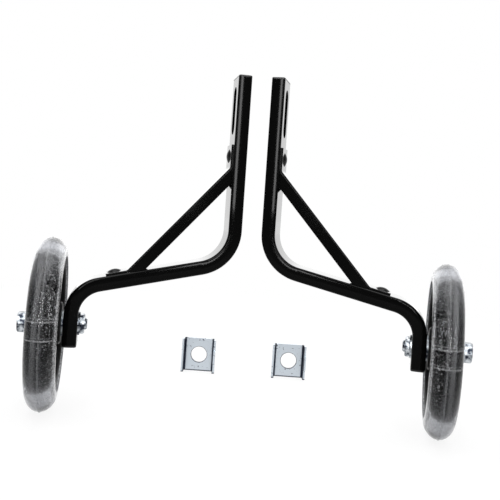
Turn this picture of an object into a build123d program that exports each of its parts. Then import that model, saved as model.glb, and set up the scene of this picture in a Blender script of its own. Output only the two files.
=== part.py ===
"""A pair of bicycle training wheels, as they sit on a bicycle, and their two axle clips, stood beside them.

Frame: millimetres, +Z up, +Y forwards, +X to the bicycle's right. The origin lies on the line of the
bicycle's rear axle, midway between the two arms, at the middle of their slots.
Each side is drawn about its own wheel axle, with X outboard from the middle of the tyre, Y forwards
and Z up. It is then moved to its arm's slot and toed in, and the left side is its mirror image.
"""
import os
from math import asin, atan2, cos, degrees, sin, tan

from build123d import *

# Placing of the two sides
arm_spacing = 28.0
toe_angle = 11.8

# Wheel
tyre_diameter = 119.0
tyre_depth = 13.0
tyre_width = 20.0
tyre_shoulder = 1.6
parting_ridge_width = 1.4
parting_ridge_height = 0.4
panel_bar_width = 0.9
panel_bar_height = 0.45
panel_rise = 10.4
panel_length = 11.5
panel_inset = 2.2
rim_setback = 1.4
rim_wall = 4.0
rim_key_width = 8.0
rim_key_height = 2.0
rim_edge_chamfer = 0.8
web_thickness = 4.0
rib_count = 6
rib_thickness = 3.0
rib_inset = 2.5
boss_diameter = 29.0
boss_inboard = 9.5
boss_outboard = 12.4
boss_edge_chamfer = 1.0
moulded_fit = 0.05

# Axle
bolt_diameter = 8.0
bolt_hole_clearance = 0.2
thread_fit = 0.05
hex_across_flats = 13.0
bolt_head_height = 5.3
bolt_end = 1.7
bolt_end_chamfer = 0.8
nut_height = 3.2
washer_diameter = 16.0
outer_washer_thickness = 1.6
spacer_diameter = 18.0
spacer_thickness = 1.2
nut_washer_thickness = 1.2
sleeve_diameter = 12.0
running_clearance = 0.06
end_float = 0.3

# Arm, bent from flat steel tube
tube_width = 25.0
tube_thickness = 9.8
tube_wall = 1.5
tube_crown = 0.4
tube_corner = 1.9
tube_bore_corner = 0.6
arm_reach = 109.6
leg_drop = 13.3
leg_rise = 25.3
lower_run_rise = 23.4
upper_bend_radius = 28.0
lower_bend_radius = 22.0
slot_height = 158.05
slot_length = 34.7
slot_width = 11.0
slot_end_margin = 6.0

# Plastic plugs in the ends of the tube
plug_lip = 1.4
plug_lip_round = 0.8
plug_depth = 5.5
plug_fit = 0.1

# Brace, pressed from sheet, and its rivets
brace_width = 20.0
brace_sheet = 1.6
brace_flange = 8.5
brace_bend_radius = 3.0
brace_edge_radius = 1.2
brace_drop = 42.5
brace_tab = 17.3
brace_foot_tab = 15.2
brace_foot = 36.5
brace_trim = 0.15
rivet_offset = 9.4
rivet_diameter = 4.8
rivet_fit = 0.05
rivet_head_diameter = 10.4
rivet_head_height = 1.8
rivet_tail_diameter = 6.4
rivet_tail_length = 2.6

# Axle clips, folded from sheet
clip_sheet = 2.0
clip_height = 29.0
clip_flange = 9.5
clip_bend_radius = 1.5
clip_tube_clearance = 0.2
clip_hole_diameter = 14.0
clip_tab_length = 11.0
clip_tab_height = 3.5
clip_spacing = 80.0
clip_setback = 115.0

# Sizes that follow from the ones above
tyre_radius = tyre_diameter / 2
rim_diameter = tyre_diameter - 2 * tyre_depth
rim_radius = rim_diameter / 2
rim_width = tyre_width - 2 * rim_setback
shoulder_radius = rim_radius + tyre_shoulder
bolt_hole = bolt_diameter + 2 * bolt_hole_clearance
leg_face = -(boss_inboard + end_float + spacer_thickness)
leg_back = leg_face - tube_thickness
leg_x = leg_face - tube_thickness / 2
arm_x = leg_x - arm_reach
arm_face = arm_x + tube_thickness / 2
arm_top = slot_height + slot_length / 2 + slot_end_margin
arm_corner = leg_rise + lower_run_rise
washer_face = boss_outboard + end_float
head_face = washer_face + outer_washer_thickness
nut_face = leg_back - nut_washer_thickness
run_slope = atan2(lower_run_rise, arm_reach)
inner_width = tube_width - 2 * tube_wall
inner_thickness = tube_thickness - 2 * tube_wall
brace_top = slot_height - brace_drop
brace_foot_x = leg_x - brace_foot
floor_z = -(slot_height + tyre_radius + parting_ridge_height)


def along_x(start, length, sketch):
    """The sketch, drawn square to X at start, extruded outboard."""
    return extrude(Plane.YZ.offset(start) * sketch, length)


def ring(start, length, outer, inner):
    """A flat ring about the wheel axle, by its two diameters."""
    return along_x(start, length, Circle(outer / 2) - Circle(inner / 2))


def hexagon(start, length, chamfered_ends):
    """A hexagon about the wheel axle, turned to a chamfer at its last ends along X."""
    corner_radius = hex_across_flats / 3**0.5
    turned = along_x(start, length, Circle(corner_radius))
    ends = turned.edges().filter_by(GeomType.CIRCLE).sort_by(Axis.X)[-chamfered_ends:]
    turned = chamfer(ends, corner_radius - hex_across_flats / 2)
    return turned & along_x(start, length, RegularPolygon(hex_across_flats / 2, 6, major_radius=False))


def side_view(sketch):
    """A sketch of X and Z, stood up on the middle plane of the assembly."""
    return Plane.XZ * sketch


def run_top(x):
    """Height at x of the upper face of the tube's lower run."""
    return leg_rise + (leg_x - x) * tan(run_slope) + tube_thickness / 2 / cos(run_slope)


# Arm
def rivet_seats():
    """Where the rivets pass from the brace's two tabs into the tube, with Z pointing outwards."""
    lower_x = brace_foot_x + rivet_offset * cos(run_slope)
    upper = Plane((arm_face, 0, brace_top + rivet_offset), x_dir=(0, 1, 0), z_dir=(1, 0, 0))
    run_normal = (sin(run_slope), 0, cos(run_slope))
    lower = Plane((lower_x, 0, run_top(lower_x)), x_dir=(0, 1, 0), z_dir=run_normal)
    return [upper.location, lower.location]


def rivet_holes(depth):
    """Cutters for the rivets, reaching depth to each side of the tube's face."""
    return [seat * Cylinder(rivet_diameter / 2 + rivet_fit, 2 * depth) for seat in rivet_seats()]


def tube_outline():
    """The tube's section, with two flat sides and two narrow faces that are slightly crowned."""
    width, thickness = tube_width / 2, tube_thickness / 2
    edge = width - tube_crown
    outline = Line((-edge, thickness), (edge, thickness))
    outline += ThreePointArc((edge, thickness), (width, 0), (edge, -thickness))
    outline += Line((edge, -thickness), (-edge, -thickness))
    outline += ThreePointArc((-edge, -thickness), (-width, 0), (-edge, thickness))
    section = make_face(outline)
    return fillet(section.vertices(), tube_corner)


def make_arm_tube():
    path = FilletPolyline(
        (arm_x, 0, arm_top),
        (arm_x, 0, arm_corner),
        (leg_x, 0, leg_rise),
        (leg_x, 0, -leg_drop),
        radius=[upper_bend_radius, lower_bend_radius],
    )
    start = Plane(path @ 0, x_dir=(0, 1, 0), z_dir=path % 0)
    outside = sweep(start * tube_outline(), path=path)
    inside = sweep(start * RectangleRounded(inner_width, inner_thickness, tube_bore_corner), path=path)
    slot = Pos(0, slot_height) * SlotOverall(slot_length, slot_width, rotation=90)
    tube = outside - inside
    tube -= along_x(arm_x - tube_thickness, 2 * tube_thickness, slot)
    tube -= along_x(leg_x - tube_thickness, 2 * tube_thickness, Circle(bolt_hole / 2))
    tube -= rivet_holes(2 * tube_wall)
    return tube


def make_plug(x, end, outwards):
    """A push-in plug: a lip as large as the tube and a shank that fits its bore."""
    seat = Plane((x, 0, end), x_dir=(0, 1, 0), z_dir=(0, 0, outwards))
    lip = extrude(seat * tube_outline(), plug_lip)
    crown = lip.faces().sort_by(Axis((0, 0, 0), (0, 0, outwards)))[-1]
    lip = fillet(crown.edges(), plug_lip_round)
    shank_width = inner_width - 2 * plug_fit
    shank_thickness = inner_thickness - 2 * plug_fit
    shank = RectangleRounded(shank_width, shank_thickness, tube_bore_corner)
    return lip + extrude(seat * shank, -plug_depth)


# Brace
def offset_line(points, distance):
    """The polyline moved to its left by distance, with mitred corners."""
    headings = [atan2(b[1] - a[1], b[0] - a[0]) for a, b in zip(points, points[1:])]
    moved = []
    for i, (x, z) in enumerate(points):
        before = headings[max(i - 1, 0)]
        after = headings[min(i, len(headings) - 1)]
        middle = (before + after) / 2
        reach = distance / cos((after - before) / 2)
        moved.append((x - reach * sin(middle), z + reach * cos(middle)))
    return moved


def make_brace():
    foot_end = brace_foot_x + brace_foot_tab * cos(run_slope)
    inner = [
        (arm_face, brace_top + brace_tab),
        (arm_face, brace_top),
        (brace_foot_x, run_top(brace_foot_x)),
        (foot_end, run_top(foot_end)),
    ]
    outer = offset_line(inner, brace_sheet)
    strip = make_face(Polyline(*inner, *reversed(outer), close=True))
    strip = fillet([strip.vertices().sort_by_distance((*p, 0))[0] for p in outer[1:3]], brace_bend_radius)
    strip = fillet(
        [strip.vertices().sort_by_distance((*p, 0))[0] for p in inner[1:3]],
        brace_bend_radius + brace_sheet,
    )
    brace = extrude(side_view(strip), brace_width / 2, both=True)

    # The two flanges stand under the diagonal, trimmed to the tube's faces
    heading = atan2(inner[2][1] - inner[1][1], inner[2][0] - inner[1][0])

    def diagonal_ends(depth):
        """Where a line at this depth under the diagonal's inner face meets the arm and the lower run."""
        x = inner[1][0] + depth * sin(heading)
        z = inner[1][1] - depth * cos(heading)
        to_arm = (arm_face + brace_trim - x) / cos(heading)
        fall = sin(heading) + tan(run_slope) * cos(heading)
        to_run = (run_top(x) + brace_trim / cos(run_slope) - z) / fall
        return [(x + t * cos(heading), z + t * sin(heading)) for t in (to_arm, to_run)]

    root = diagonal_ends(-brace_sheet / 2)
    lip = diagonal_ends(brace_flange - brace_sheet)
    flange = make_face(Polyline(root[0], root[1], lip[1], lip[0], close=True))
    plate = extrude(side_view(flange), brace_sheet)
    brace += Pos(0, brace_width / 2, 0) * plate
    brace += Pos(0, brace_sheet - brace_width / 2, 0) * plate
    for hole in rivet_holes(2 * brace_sheet):
        brace -= hole
    middle = [(outer[1][i] + outer[2][i]) / 2 for i in (0, 1)]
    folds = [
        brace.edges().sort_by_distance((middle[0], side * brace_width / 2, middle[1]))[0] for side in (-1, 1)
    ]
    return fillet(folds, brace_edge_radius)


def make_rivets():
    """A domed blind rivet at each end of the brace, with its set tail inside the tube."""
    head_base = brace_sheet
    head_radius = rivet_head_diameter / 2
    dome_radius = (head_radius**2 + rivet_head_height**2) / (2 * rivet_head_height)
    tail_radius = rivet_tail_diameter / 2
    tail_end = -tube_wall - rivet_tail_length
    body = Polyline(
        (0, head_base + rivet_head_height),
        (0, tail_end),
        (tail_radius, tail_end),
        (tail_radius, -tube_wall),
        (rivet_diameter / 2, -tube_wall),
        (rivet_diameter / 2, head_base),
        (head_radius, head_base),
    )
    dome = RadiusArc((head_radius, head_base), (0, head_base + rivet_head_height), -dome_radius)
    rivet = revolve(side_view(make_face(body + dome)), Axis.Z)
    return Compound([seat * rivet for seat in rivet_seats()])


# Wheel
def make_tyre():
    half = tyre_width / 2
    bore = rim_radius + moulded_fit
    crown_height = tyre_radius - shoulder_radius
    sides = Polyline((-half, shoulder_radius), (-half, bore), (half, bore), (half, shoulder_radius))
    crown = EllipticalCenterArc((0, shoulder_radius), half, crown_height, start_angle=0, arc_size=180)
    tyre = revolve(side_view(make_face(crown + sides)), Axis.X)
    ridge_half = parting_ridge_width / 2
    ridge = Polyline(
        (-ridge_half, tyre_radius - parting_ridge_height),
        (-ridge_half / 2, tyre_radius + parting_ridge_height),
        (ridge_half / 2, tyre_radius + parting_ridge_height),
        (ridge_half, tyre_radius - parting_ridge_height),
        close=True,
    )
    tyre += revolve(side_view(make_face(ridge)), Axis.X)

    # Two fine bars across the rear of the tread bound a plain moulded panel
    bar_half = half + panel_bar_height
    bar_rise = crown_height + panel_bar_height
    bar_crown = EllipticalCenterArc((0, shoulder_radius), bar_half, bar_rise, start_angle=0, arc_size=180)
    bar_face = make_face(bar_crown + Line(bar_crown @ 0, bar_crown @ 1))
    bar_face &= Pos(0, tyre_radius) * Rectangle(tyre_width - 2 * panel_inset, 2 * crown_height)
    bar = revolve(side_view(bar_face), Axis.X, degrees(panel_bar_width / tyre_radius))
    for rise in (panel_rise, panel_rise - panel_length):
        tyre += Rot(90 - degrees(asin(rise / tyre_radius)), 0, 0) * bar

    # The rim's key sits in a groove round the bore
    key_half = rim_key_width / 2 + moulded_fit
    return tyre - along_x(-key_half, 2 * key_half, Circle(bore + rim_key_height))


def make_hub():
    rim = ring(-rim_width / 2, rim_width, rim_diameter, rim_diameter - 2 * rim_wall)
    rim = chamfer(rim.edges().filter_by(GeomType.CIRCLE), rim_edge_chamfer)
    key = ring(-rim_key_width / 2, rim_key_width, rim_diameter + 2 * rim_key_height, rim_diameter - rim_wall)
    boss = along_x(-boss_inboard, boss_inboard + boss_outboard, Circle(boss_diameter / 2))
    boss = chamfer(boss.edges().filter_by(GeomType.CIRCLE), boss_edge_chamfer)
    web = ring(-web_thickness / 2, web_thickness, rim_diameter - rim_wall, boss_diameter - rim_wall)
    rib_span = (rim_diameter - boss_diameter) / 2
    rib_middle = (rim_diameter + boss_diameter) / 4 - rim_wall / 2
    rib = Pos(0, 0, rib_middle) * Box(rim_width - 2 * rib_inset, rib_thickness, rib_span)
    hub = rim + key + boss + web
    for i in range(rib_count):
        hub += Rot(360 / rib_count * i, 0, 0) * rib
    bore = sleeve_diameter / 2 + running_clearance
    return hub - along_x(-boss_inboard, boss_inboard + boss_outboard, Circle(bore))


# Axle
def make_axle_sleeve():
    length = boss_inboard + boss_outboard + 2 * end_float
    return ring(-boss_inboard - end_float, length, sleeve_diameter, bolt_hole)


def make_axle_bolt():
    head = hexagon(head_face, bolt_head_height, chamfered_ends=1)
    tip = nut_face - nut_height - bolt_end
    shank = along_x(tip, head_face - tip, Circle(bolt_diameter / 2))
    shank = chamfer(shank.edges().filter_by(GeomType.CIRCLE).sort_by(Axis.X)[0], bolt_end_chamfer)
    return head + shank


def make_axle_nut():
    nut = hexagon(nut_face - nut_height, nut_height, chamfered_ends=2)
    return nut - along_x(nut_face - nut_height, nut_height, Circle(bolt_diameter / 2 + thread_fit))


# Clip
def make_clip(x):
    """A folded clip that stands on its lower edge, with its web to the front and a tab on one flange."""
    inside = tube_width + 2 * clip_tube_clearance
    outside = inside + 2 * clip_sheet
    channel = Pos(0, -clip_flange / 2) * Rectangle(outside, clip_flange)
    channel -= Pos(0, -(clip_sheet + clip_flange) / 2) * Rectangle(inside, clip_flange - clip_sheet)
    corners = channel.vertices()
    channel = fillet(corners.group_by(Axis.Y)[-1], clip_bend_radius + clip_sheet)
    channel = fillet(
        [channel.vertices().sort_by_distance((s * inside / 2, -clip_sheet, 0))[0] for s in (-1, 1)],
        clip_bend_radius,
    )
    clip = extrude(channel, clip_height)
    tab = Box(clip_sheet, clip_tab_height, clip_tab_length)
    tab_x = (outside - clip_sheet) / 2
    clip += Pos(tab_x, -clip_flange - clip_tab_height / 2, clip_height / 2) * tab
    hole = Rot(90, 0, 0) * Cylinder(clip_hole_diameter / 2, 3 * clip_sheet)
    clip -= Pos(0, 0, clip_height / 2) * hole
    return Pos(x, clip_setback, floor_z) * clip


side_pieces = {
    "arm_tube": make_arm_tube(),
    "top_plug": make_plug(arm_x, arm_top, 1),
    "foot_plug": make_plug(leg_x, -leg_drop, -1),
    "brace": make_brace(),
    "brace_rivets": make_rivets(),
    "tyre": make_tyre(),
    "hub": make_hub(),
    "axle_sleeve": make_axle_sleeve(),
    "axle_bolt": make_axle_bolt(),
    "outer_washer": ring(washer_face, outer_washer_thickness, washer_diameter, bolt_hole),
    "inner_spacer": ring(leg_face, spacer_thickness, spacer_diameter, bolt_hole),
    "nut_washer": ring(nut_face, nut_washer_thickness, washer_diameter, bolt_hole),
    "axle_nut": make_axle_nut(),
}

to_slot = Pos(arm_spacing / 2, 0, 0) * Rot(0, 0, -toe_angle) * Pos(-arm_x, 0, -slot_height)

os.makedirs("parts", exist_ok=True)
for name, piece in side_pieces.items():
    right = to_slot * piece
    export_step(right, f"parts/right_{name}.step")
    export_step(mirror(right, about=Plane.YZ), f"parts/left_{name}.step")
export_step(make_clip(clip_spacing / 2), "parts/right_axle_clip.step")
export_step(make_clip(-clip_spacing / 2), "parts/left_axle_clip.step")
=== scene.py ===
import math
from functools import reduce

import bpy
from mathutils import Matrix, Vector


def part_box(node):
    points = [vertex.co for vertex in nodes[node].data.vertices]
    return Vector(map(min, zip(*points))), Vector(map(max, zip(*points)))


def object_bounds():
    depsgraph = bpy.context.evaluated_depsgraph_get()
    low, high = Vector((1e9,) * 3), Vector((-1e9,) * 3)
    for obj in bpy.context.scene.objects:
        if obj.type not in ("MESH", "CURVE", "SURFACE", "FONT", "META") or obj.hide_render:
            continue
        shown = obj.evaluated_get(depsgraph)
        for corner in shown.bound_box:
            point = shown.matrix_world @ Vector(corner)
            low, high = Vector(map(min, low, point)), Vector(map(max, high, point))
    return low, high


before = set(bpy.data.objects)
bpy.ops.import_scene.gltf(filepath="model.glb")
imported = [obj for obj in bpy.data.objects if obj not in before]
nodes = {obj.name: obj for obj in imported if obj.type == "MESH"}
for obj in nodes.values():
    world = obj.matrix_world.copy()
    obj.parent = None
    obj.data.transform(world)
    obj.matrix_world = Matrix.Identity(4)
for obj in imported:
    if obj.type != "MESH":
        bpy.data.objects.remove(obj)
cad_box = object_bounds()
scene = bpy.context.scene
scene.view_settings.view_transform = "Standard"

# The sides of the set, and which way each one lies from the middle
SIDES = {"left": -1, "right": 1}

# The look of each piece, the same on both sides
LOOK_OF = {
    "arm_tube": "black_paint",
    "top_plug": "black_plug",
    "foot_plug": "black_plug",
    "brace": "black_paint",
    "brace_rivets": "black_paint",
    "tyre": "clear_tyre",
    "hub": "black_hub",
    "axle_sleeve": "zinc_steel",
    "axle_bolt": "zinc_steel",
    "outer_washer": "zinc_steel",
    "inner_spacer": "zinc_steel",
    "nut_washer": "zinc_steel",
    "axle_nut": "zinc_steel",
    "axle_clip": "zinc_clip",
}

# Sizes of the part that its looks follow, in metres
TOE = math.radians(11.8)
PANEL_RISE = 0.0104
PANEL_LENGTH = 0.0115
CLIP_SHEET = 0.002
CLIP_HOLE_RADIUS = 0.007

# Frosted lines and a painted reflection band on the tyre: places along the axle, outboard of the hub's
# middle, and strengths
SEAM_PLACE = 0.0
# The next place, and the last strength below, are for a painted reflection band along the tread
REFLECTION_BAND_PLACE = 0.0034
SHOULDER_PLACE = -0.0090
PANEL_FROST = 0.28
SEAM_FROST = 0.14
REFLECTION_BAND_STRENGTH = 0.1

# The painted shade line along a clip's fold lies this far inside the flange
FOLD_INSET = 0.0004

# The floor: its half width and the gap under the wheels
FLOOR_HALF = 6.0
FLOOR_GAP = 0.0004

# The floor's tone to the camera and elsewhere, and its glow near the part and far from it
FLOOR_TONE_SEEN = 0.9
FLOOR_TONE_ELSEWHERE = 0.2
FLOOR_GLOW_NEAR = 0.86
FLOOR_GLOW_FAR = 1.0

# Distances from the origin over which the floor's glow rises to full
FLOOR_GLOW_RISE = (0.25, 0.7)

# Places along Y over which the floor comes to lie beyond the part, as the camera sees it
FLOOR_BEYOND = (-0.12, -0.06)

# Studio lights, aimed at the part's middle: place, size and power
LIGHTS = {
    "key": ((-0.7, -0.7, 1.0), (0.9, 0.9), 6.0),
    "fill": ((0.9, -0.5, 0.6), (0.8, 0.8), 4.0),
    "top": ((0.0, 0.1, 1.4), (1.6, 1.2), 18.0),
    "back": ((0.0, 1.6, 0.2), (3.2, 1.2), 11.0),
}

# Upright strip lights that draw the light line down each arm: the right one's place, their size and power
STRIP_PLACE = (0.228, -1.0, 0.52)
STRIP_SIZE = (0.1, 1.2)
STRIP_POWER = 6.0

# The photograph's camera: focal length and shift in pixels, place in metres, and turns
IMAGE_WIDTH = 500.0
FOCAL_PIXELS = 694.0
SHIFT_PIXELS = -43.0
CAMERA_PLACE = Vector((0.0018, -0.5052, -0.067))
CAMERA_PITCH = math.radians(0.2)
CAMERA_PAN = math.radians(-0.25)
CAMERA_ROLL = math.radians(3.93)


def material(name):
    """A new node material, with its node tree, its Principled shader and its output."""
    look = bpy.data.materials.new(name)
    look.use_nodes = True
    tree = look.node_tree
    return look, tree, tree.nodes["Principled BSDF"], tree.nodes["Material Output"]


def set_inputs(node, values):
    """Sets a node's sockets by name, with colours given as red, green and blue."""
    for name, value in values.items():
        socket = node.inputs[name]
        socket.default_value = (*value, 1.0) if socket.type == "RGBA" else value


def grey(value):
    """A colour without hue."""
    return (value, value, value)


def object_coords(tree):
    """The object's own coordinates, which are the part's frame in metres."""
    return tree.nodes.new("ShaderNodeTexCoord").outputs["Object"]


def split(tree, vector):
    """The X, Y and Z of a vector."""
    node = tree.nodes.new("ShaderNodeSeparateXYZ")
    tree.links.new(vector, node.inputs["Vector"])
    return [node.outputs[axis] for axis in "XYZ"]


def vector_node(tree, operation, first, second=None):
    """A vector math node on a socket, and on a plain vector where it takes two."""
    node = tree.nodes.new("ShaderNodeVectorMath")
    node.operation = operation
    tree.links.new(first, node.inputs[0])
    if second is not None:
        node.inputs[1].default_value = second
    return node


def math_node(tree, operation, first, second=None):
    """The result of a math node on sockets or plain numbers."""
    node = tree.nodes.new("ShaderNodeMath")
    node.operation = operation
    for socket, value in zip(node.inputs, (first, second)):
        if isinstance(value, (int, float)):
            socket.default_value = value
        elif value is not None:
            tree.links.new(value, socket)
    return node.outputs["Value"]


def product(tree, *values):
    """The values multiplied together."""
    return reduce(lambda first, second: math_node(tree, "MULTIPLY", first, second), values)


def largest(tree, *values):
    """The largest of the values."""
    return reduce(lambda first, second: math_node(tree, "MAXIMUM", first, second), values)


def map_range(tree, value, source, target):
    """A value moved from one range to another, and held at its ends."""
    node = tree.nodes.new("ShaderNodeMapRange")
    set_inputs(node, {
        "From Min": source[0],
        "From Max": source[1],
        "To Min": target[0],
        "To Max": target[1],
    })
    tree.links.new(value, node.inputs["Value"])
    return node.outputs["Result"]


def near(tree, value, place, half, fade):
    """A soft band: 1 where value lies within half of place, falling to 0 over the fade beyond it."""
    away = math_node(tree, "ABSOLUTE", math_node(tree, "SUBTRACT", value, place))
    return map_range(tree, away, (half, half + fade), (1.0, 0.0))


def noise(tree, scale, detail=2.0, roughness=0.5):
    """Noise over the object's own coordinates."""
    node = tree.nodes.new("ShaderNodeTexNoise")
    set_inputs(node, {"Scale": scale, "Detail": detail, "Roughness": roughness})
    tree.links.new(object_coords(tree), node.inputs["Vector"])
    return node.outputs["Fac"]


def ramp(tree, value, stops):
    """The colour of a ramp at a value, from (place, colour) stops."""
    node = tree.nodes.new("ShaderNodeValToRGB")
    elements = node.color_ramp.elements
    while len(elements) < len(stops):
        elements.new(0.5)
    for element, (place, colour) in zip(elements, stops):
        element.position = place
        element.color = (*colour, 1.0)
    tree.links.new(value, node.inputs["Fac"])
    return node.outputs["Color"]


def bump(tree, height, shader, strength, distance):
    """Bumps a shader's surface with a value."""
    node = tree.nodes.new("ShaderNodeBump")
    set_inputs(node, {"Strength": strength, "Distance": distance})
    tree.links.new(height, node.inputs["Height"])
    tree.links.new(node.outputs["Normal"], shader.inputs["Normal"])


def mix_shaders(tree, share, first, second, output):
    """Sends two shaders to an output's surface, with share as the second one's part."""
    node = tree.nodes.new("ShaderNodeMixShader")
    tree.links.new(share, node.inputs["Fac"])
    tree.links.new(first, node.inputs[1])
    tree.links.new(second, node.inputs[2])
    tree.links.new(node.outputs["Shader"], output.inputs["Surface"])


def black_paint():
    """Gloss black paint with a faint orange peel."""
    look, tree, shader, _ = material("black_paint")
    set_inputs(shader, {
        "Base Color": grey(0.0025),
        "Roughness": 0.07,
        "IOR": 1.16,
        "Coat Weight": 0.4,
        "Coat IOR": 1.16,
        "Coat Roughness": 0.05,
    })
    peel = noise(tree, scale=900.0, detail=1.0)
    bump(tree, peel, shader, strength=0.006, distance=0.0004)
    return look


def black_plug():
    """Satin black plastic with a fine grain."""
    look, tree, shader, _ = material("black_plug")
    set_inputs(shader, {"Base Color": grey(0.010), "Roughness": 0.42})
    grain = noise(tree, scale=1600.0)
    bump(tree, grain, shader, strength=0.08, distance=0.0003)
    return look


def black_hub():
    """Black moulded plastic with a few pale specks."""
    look, tree, shader, _ = material("black_hub")
    set_inputs(shader, {"Roughness": 0.35, "IOR": 1.2})
    specks = noise(tree, scale=1500.0, detail=3.0, roughness=0.7)
    tone = ramp(tree, specks, [(0.0, grey(0.006)), (0.62, grey(0.008)), (0.76, grey(0.12))])
    tree.links.new(tone, shader.inputs["Base Color"])
    return look


def wheel_coords(tree):
    """A point's place outboard, forwards and upwards of its hub's middle, in metres.

    The left wheel is folded onto the right one, so both have the same look.
    """
    x, y, z = split(tree, object_coords(tree))
    folded = tree.nodes.new("ShaderNodeCombineXYZ")
    tree.links.new(math_node(tree, "ABSOLUTE", x), folded.inputs["X"])
    tree.links.new(y, folded.inputs["Y"])
    tree.links.new(z, folded.inputs["Z"])
    low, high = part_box("right_hub")
    from_middle = vector_node(tree, "SUBTRACT", folded.outputs["Vector"], (low + high) / 2)
    outboard = (math.cos(TOE), -math.sin(TOE), 0.0)
    forwards = (math.sin(TOE), math.cos(TOE), 0.0)
    upwards = (0.0, 0.0, 1.0)
    return [
        vector_node(tree, "DOT_PRODUCT", from_middle.outputs["Vector"], way).outputs["Value"]
        for way in (outboard, forwards, upwards)
    ]


def tyre_frost_and_reflection(tree):
    """How frosted the tyre is: its panel's lines, its seam, its inner shoulder and specks, and a painted
    reflection band along the tread.
    """
    axial, forward, height = wheel_coords(tree)
    rear = math_node(tree, "LESS_THAN", forward, 0.0)
    panel_top = near(tree, height, PANEL_RISE, half=0.0002, fade=0.0004)
    panel_foot = near(tree, height, PANEL_RISE - PANEL_LENGTH, half=0.0002, fade=0.0004)
    panel = product(tree, rear, largest(tree, panel_top, panel_foot), PANEL_FROST)
    seam = product(tree, near(tree, axial, SEAM_PLACE, half=0.0003, fade=0.0005), SEAM_FROST)
    # A pale band along the tread: a painted reflection, not frost
    reflection_band = product(tree, near(tree, axial, REFLECTION_BAND_PLACE, half=0.0008, fade=0.0016), REFLECTION_BAND_STRENGTH)
    dust = noise(tree, scale=640.0, detail=6.0, roughness=0.8)
    shoulder_line = near(tree, axial, SHOULDER_PLACE, half=0.0003, fade=0.0006)
    patches = map_range(tree, dust, (0.42, 0.60), (0.1, 0.8))
    shoulder = product(tree, shoulder_line, patches)
    grains = map_range(tree, dust, (0.57, 0.64), (0.0, 0.7))
    inner_half = map_range(tree, axial, (-0.001, 0.003), (1.0, 0.3))
    specks = product(tree, grains, inner_half)
    return largest(tree, panel, seam, reflection_band, shoulder, specks)


def clear_tyre():
    """Smoky clear plastic, frosted in places, with a painted reflection band along the tread."""
    look, tree, shader, output = material("clear_tyre")
    set_inputs(shader, {
        "Base Color": (0.86, 0.865, 0.875),
        "Roughness": 0.1,
        "IOR": 1.26,
        "Specular IOR Level": 0.25,
        "Transmission Weight": 1.0,
    })
    skin = noise(tree, scale=900.0, detail=4.0, roughness=0.65)
    bump(tree, skin, shader, strength=0.08, distance=0.0004)
    # This pale diffuse shader gives the frost and the painted reflection band alike
    frost_and_reflection_bsdf = tree.nodes.new("ShaderNodeBsdfDiffuse")
    set_inputs(frost_and_reflection_bsdf, {"Color": (0.62, 0.625, 0.64)})
    mix_shaders(tree, tyre_frost_and_reflection(tree), shader.outputs["BSDF"], frost_and_reflection_bsdf.outputs["BSDF"], output)
    smoke = tree.nodes.new("ShaderNodeVolumeAbsorption")
    set_inputs(smoke, {"Color": (0.55, 0.56, 0.585), "Density": 52.0})
    tree.links.new(smoke.outputs["Volume"], output.inputs["Volume"])
    return look


def zinc_steel():
    """Zinc-plated steel with dark and light clouds."""
    look, tree, shader, _ = material("zinc_steel")
    set_inputs(shader, {"Metallic": 1.0, "Roughness": 0.33})
    cloud = noise(tree, scale=260.0, detail=5.0, roughness=0.6)
    tone = ramp(tree, cloud, [
        (0.42, (0.03, 0.035, 0.05)),
        (0.50, (0.34, 0.37, 0.40)),
        (0.60, (0.68, 0.71, 0.74)),
    ])
    tree.links.new(tone, shader.inputs["Base Color"])
    bump(tree, cloud, shader, strength=0.12, distance=0.0003)
    return look


def clip_shade_and_specks(tree):
    """Painted shade on a clip along each fold, a painted contact shadow along its lower edge, painted shade
    round its hole, and a few dark specks.
    """
    low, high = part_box("right_axle_clip")
    centre = (low + high) / 2
    x, _, z = split(tree, object_coords(tree))
    across = math_node(tree, "SUBTRACT", math_node(tree, "ABSOLUTE", x), centre.x)
    rise = math_node(tree, "SUBTRACT", z, centre.z)
    squares = math_node(tree, "ADD", product(tree, across, across), product(tree, rise, rise))
    radius = math_node(tree, "SQRT", squares)
    fold_place = (high.x - low.x) / 2 - CLIP_SHEET - FOLD_INSET
    # Painted shade in each fold's crease, a painted contact shadow along the lower edge and painted shade
    # round the hole's rim
    fold_shade = near(tree, math_node(tree, "ABSOLUTE", across), fold_place, half=0.0006, fade=0.0007)
    contact_shadow = near(tree, z, low.z, half=0.0005, fade=0.0007)
    hole_shade = near(tree, radius, CLIP_HOLE_RADIUS, half=0.0002, fade=0.0003)
    spots = noise(tree, scale=420.0, detail=4.0, roughness=0.6)
    specks = map_range(tree, spots, (0.62, 0.68), (0.0, 0.9))
    return largest(tree, fold_shade, contact_shadow, hole_shade, specks)


def zinc_clip():
    """Zinc-plated sheet, with painted shade along each fold, its lower edge and its hole, and a few dark
    specks.
    """
    look, tree, shader, _ = material("zinc_clip")
    set_inputs(shader, {"Metallic": 1.0, "Roughness": 0.36})
    # The dark end of the ramp gives the painted shade and the dark specks
    tone = ramp(tree, clip_shade_and_specks(tree), [(0.0, (0.61, 0.665, 0.72)), (1.0, (0.015, 0.02, 0.04))])
    tree.links.new(tone, shader.inputs["Base Color"])
    cloud = noise(tree, scale=140.0, detail=5.0, roughness=0.6)
    bump(tree, cloud, shader, strength=0.1, distance=0.0003)
    return look


def dress_pieces():
    """Gives every piece its look."""
    looks = {
        "black_paint": black_paint(),
        "black_plug": black_plug(),
        "black_hub": black_hub(),
        "clear_tyre": clear_tyre(),
        "zinc_steel": zinc_steel(),
        "zinc_clip": zinc_clip(),
    }
    for side in SIDES:
        for piece, look in LOOK_OF.items():
            mesh = nodes[f"{side}_{piece}"].data
            mesh.materials.clear()
            mesh.materials.append(looks[look])


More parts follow.
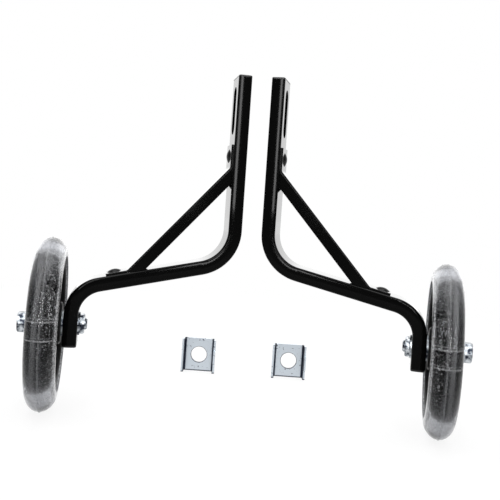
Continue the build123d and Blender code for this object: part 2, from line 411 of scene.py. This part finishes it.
def floor_white():
    """Pale floor that the camera sees almost white, with a faint shadow, and that lights the part little.

    Where it lies beyond the part, it also looks white through clear pieces and in glossy ones.
    """
    look, tree, shader, output = material("floor_white")
    path = tree.nodes.new("ShaderNodeLightPath").outputs
    tone = map_range(tree, path["Is Camera Ray"], (0.0, 1.0), (FLOOR_TONE_ELSEWHERE, FLOOR_TONE_SEEN))
    tree.links.new(tone, shader.inputs["Base Color"])
    set_inputs(shader, {"Roughness": 0.9})
    glow = tree.nodes.new("ShaderNodeEmission")
    set_inputs(glow, {"Strength": 1.0})
    coords = object_coords(tree)
    _, forward, _ = split(tree, coords)
    beyond = map_range(tree, forward, FLOOR_BEYOND, (0.0, 1.0))
    in_pieces = largest(tree, path["Is Transmission Ray"], path["Is Glossy Ray"])
    seen = largest(tree, path["Is Camera Ray"], product(tree, beyond, in_pieces))
    away = vector_node(tree, "LENGTH", coords).outputs["Value"]
    rising = map_range(tree, away, FLOOR_GLOW_RISE, (FLOOR_GLOW_NEAR, FLOOR_GLOW_FAR))
    share = product(tree, seen, rising)
    mix_shaders(tree, share, shader.outputs["BSDF"], glow.outputs["Emission"], output)
    return look


def set_floor():
    """A wide floor just under the wheels."""
    low = cad_box[0].z - FLOOR_GAP
    corners = [(x * FLOOR_HALF, y * FLOOR_HALF, low) for x, y in ((-1, -1), (1, -1), (1, 1), (-1, 1))]
    mesh = bpy.data.meshes.new("floor")
    mesh.from_pydata(corners, [], [(0, 1, 2, 3)])
    mesh.materials.append(floor_white())
    floor = bpy.data.objects.new("floor", mesh)
    scene.collection.objects.link(floor)


def set_world():
    """White to the camera, and elsewhere a soft light that is brighter from beyond the part."""
    world = bpy.data.worlds.new("studio")
    scene.world = world
    world.use_nodes = True
    tree = world.node_tree
    tree.nodes.clear()
    output = tree.nodes.new("ShaderNodeOutputWorld")
    white = tree.nodes.new("ShaderNodeBackground")
    set_inputs(white, {"Color": grey(1.0), "Strength": 1.0})
    soft = tree.nodes.new("ShaderNodeBackground")
    set_inputs(soft, {"Strength": 0.9})
    _, forward, _ = split(tree, tree.nodes.new("ShaderNodeTexCoord").outputs["Generated"])
    brightness = map_range(tree, forward, (-0.2, 0.6), (0.08, 1.0))
    tree.links.new(brightness, soft.inputs["Color"])
    seen = tree.nodes.new("ShaderNodeLightPath").outputs["Is Camera Ray"]
    mix_shaders(tree, seen, soft.outputs["Background"], white.outputs["Background"], output)


def area_light(name, place, target, size, power):
    """A rectangular light at a place, aimed at a target."""
    data = bpy.data.lights.new(name, "AREA")
    data.shape = "RECTANGLE"
    data.size, data.size_y = size
    data.energy = power
    lamp = bpy.data.objects.new(name, data)
    lamp.location = place
    lamp.rotation_euler = (Vector(target) - Vector(place)).to_track_quat("-Z", "Y").to_euler()
    scene.collection.objects.link(lamp)


def set_lights():
    """The studio lights round the part, and the two strips."""
    middle = (cad_box[0] + cad_box[1]) / 2
    for name, (place, size, power) in LIGHTS.items():
        area_light(name, place, middle, size, power)
    across, depth, height = STRIP_PLACE
    for side, way in SIDES.items():
        place = (way * across, depth, height)
        target = (0.0, 0.0, height)
        area_light(f"strip_{side}", place, target, STRIP_SIZE, STRIP_POWER)


def set_camera():
    """The photograph's camera: at the part's rear and almost square to it, rolled by the picture's tilt."""
    data = bpy.data.cameras.new("photo_camera")
    data.sensor_width = 36.0
    data.lens = FOCAL_PIXELS / IMAGE_WIDTH * data.sensor_width
    data.shift_x = math.sin(CAMERA_ROLL) * SHIFT_PIXELS / IMAGE_WIDTH
    data.shift_y = math.cos(CAMERA_ROLL) * SHIFT_PIXELS / IMAGE_WIDTH
    data.clip_start = 0.01
    data.clip_end = 50.0
    ahead = Vector((
        math.sin(CAMERA_PAN) * math.cos(CAMERA_PITCH),
        math.cos(CAMERA_PAN) * math.cos(CAMERA_PITCH),
        -math.sin(CAMERA_PITCH),
    ))
    level = Vector((math.cos(CAMERA_PAN), -math.sin(CAMERA_PAN), 0.0))
    upward = level.cross(ahead)
    right = level * math.cos(CAMERA_ROLL) + upward * math.sin(CAMERA_ROLL)
    up = upward * math.cos(CAMERA_ROLL) - level * math.sin(CAMERA_ROLL)
    camera = bpy.data.objects.new("photo_camera", data)
    turn = Matrix((right, up, -ahead)).transposed().to_4x4()
    camera.matrix_world = Matrix.Translation(CAMERA_PLACE) @ turn
    scene.collection.objects.link(camera)
    scene.camera = camera


dress_pieces()
set_floor()
set_world()
set_lights()
set_camera()
